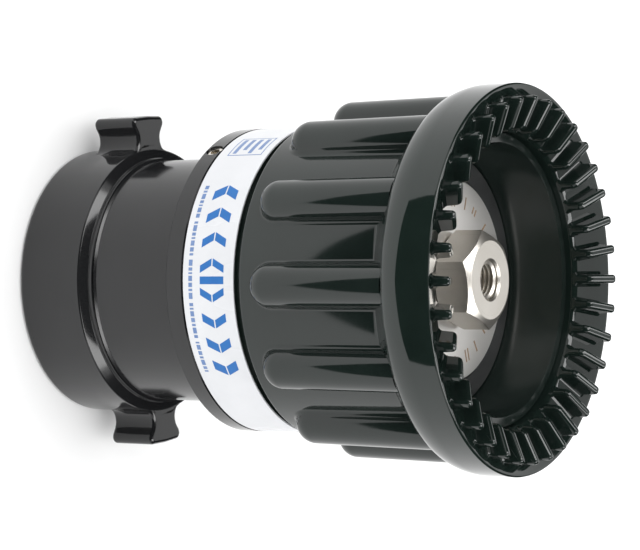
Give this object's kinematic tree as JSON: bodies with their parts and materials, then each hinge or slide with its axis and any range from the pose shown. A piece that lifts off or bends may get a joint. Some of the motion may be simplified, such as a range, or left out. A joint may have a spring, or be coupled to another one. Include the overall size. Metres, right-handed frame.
{
  "type": "fire hose nozzle",
  "caption": "Adjustable fog nozzle for a fire hose: swivel inlet with rocker lugs, centre baffle, ribbed twist sleeve and a bumper ringed with fog teeth.",
  "frame": {"origin": "centre of the inlet face, which the nozzle stands on", "axes": "+Z along the nozzle's axis towards the outlet; the rocker lugs lie close to the X axis"},
  "size_m": [0.132, 0.132, 0.182],
  "materials": {
    "black_alloy": "satin hard-coat black",
    "barrel_black": "satin hard-coat black, turned",
    "sleeve_black": "satin hard-coat black, turned",
    "grip_black": "satin hard-coat black",
    "bumper_black": "moulded black, semi-gloss",
    "black_rubber": "matt black",
    "seat_grey": "dark grey, turned",
    "bare_alloy": "machined",
    "stainless": "polished",
    "plate_steel": "finely turned",
    "nut_steel": "machined",
    "label_white": "white vinyl with blue print"
  },
  "bodies": {
    "base": {"base_barrel": "barrel_black", "tailpiece": "bare_alloy", "swivel_seal": "black_rubber", "cam_pins": "stainless", "barrel_seal": "black_rubber", "seat_ring": "seat_grey", "stem_support": "bare_alloy", "stem": "stainless", "stem_washer": "stainless", "stem_nut": "stainless", "flow_spacer": "bare_alloy", "baffle_body": "bare_alloy", "baffle_plate": "plate_steel", "baffle_nut": "nut_steel"},
    "coupling": {"swivel_coupling": "black_alloy", "inlet_gasket": "black_rubber", "ball_plug": "stainless"},
    "race_balls": {"swivel_balls": "stainless"},
    "wiper": {"wiper_ring": "black_rubber"},
    "shaper": {"pattern_sleeve": "sleeve_black", "rear_ring": "black_alloy", "lock_screw": "stainless", "label_band": "label_white", "ribbed_grip": "grip_black", "bumper": "bumper_black"}
  },
  "joints": [
    {"name": "coupling_swivel", "type": "hinge", "parent": "base", "child": "coupling", "pos_m": [0, 0, 0.0238], "axis": [0, 0, 1], "continuous": true},
    {"name": "ball_roll", "type": "hinge", "parent": "base", "child": "race_balls", "pos_m": [0, 0, 0.0238], "axis": [0, 0, 1], "continuous": true},
    {"name": "sleeve_travel", "type": "slide", "parent": "base", "child": "wiper", "axis": [0, 0, 1], "range_m": [-0.015, 0]},
    {"name": "pattern_twist", "type": "hinge", "parent": "wiper", "child": "shaper", "pos_m": [0, 0, 0.105], "axis": [0, 0, 1], "range_deg": [-135, 0]}
  ],
  "couplings": [
    {"joint": "sleeve_travel", "follows": "pattern_twist", "m_per_rad": 0.006366},
    {"joint": "ball_roll", "follows": "coupling_swivel", "ratio": 0.53}
  ]
}
